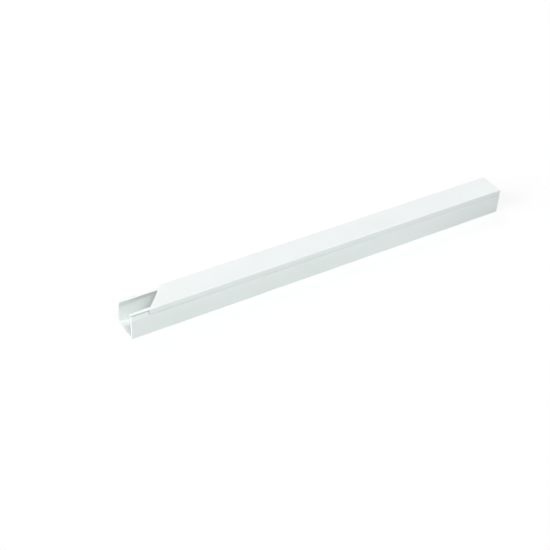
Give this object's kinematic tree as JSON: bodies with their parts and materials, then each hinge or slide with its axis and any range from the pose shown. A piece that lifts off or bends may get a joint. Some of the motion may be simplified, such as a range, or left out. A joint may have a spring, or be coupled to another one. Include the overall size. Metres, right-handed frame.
{
  "type": "cable trunking",
  "caption": "Square PVC cable trunking: a solid-walled channel with a clip-on lid that hides and protects the cables laid in it.",
  "frame": {"origin": "centre of the back face, the flat underside that goes against the wall", "axes": "+X along the duct, away from the end where the lid is mitred; +Y across it; +Z out of the wall, towards the lid"},
  "size_m": [0.388, 0.025, 0.025],
  "materials": {
    "white_pvc": "smooth satin, as extruded, cool white"
  },
  "bodies": {
    "channel": {"channel": "white_pvc"},
    "lid": {"lid": "white_pvc"}
  },
  "joints": [
    {"name": "lid_slide", "type": "slide", "parent": "channel", "child": "lid", "axis": [1, 0, 0], "range_m": [-0.016, 0.341]}
  ]
}
